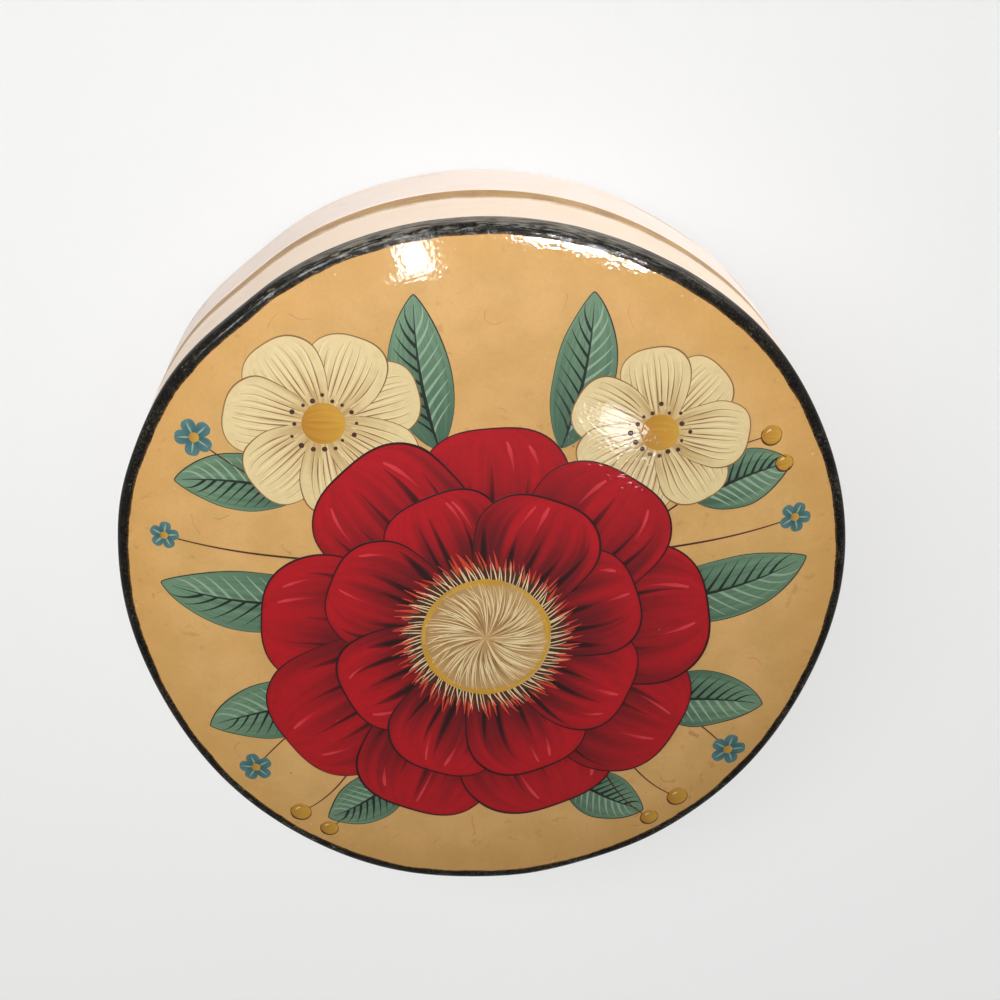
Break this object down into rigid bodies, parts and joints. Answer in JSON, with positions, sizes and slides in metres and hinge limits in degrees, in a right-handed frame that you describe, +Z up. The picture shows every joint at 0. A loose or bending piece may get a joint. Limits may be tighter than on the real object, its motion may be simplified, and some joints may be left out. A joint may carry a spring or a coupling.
{
  "type": "trinket box",
  "caption": "Round lacquered papier mache trinket box with a softly crowned lift-off lid that slips down over an inner collar.",
  "frame": {"origin": "centre of the flat underside of the base board, where the box rests", "axes": "+Z up through the middle of the lid; +Y towards the top of the painted lid face, +X to its right"},
  "size_m": [0.1, 0.1, 0.032],
  "materials": {
    "lid_lacquer": "honey-coloured painted ground with a black edge under glossy varnish",
    "cream_lacquer": "cream painted ground under varnish, with a gold line at the lid's seam edge",
    "black_lacquer": "black lacquer, satin"
  },
  "bodies": {
    "base": {"base_board": "black_lacquer", "base_ring": "cream_lacquer", "collar": "black_lacquer"},
    "lid": {"lid_ring": "cream_lacquer", "lid_board": "lid_lacquer"}
  },
  "joints": [
    {"name": "lid_lift", "type": "slide", "parent": "base", "child": "lid", "axis": [0, 0, 1], "range_m": [0, 0.06]}
  ]
}
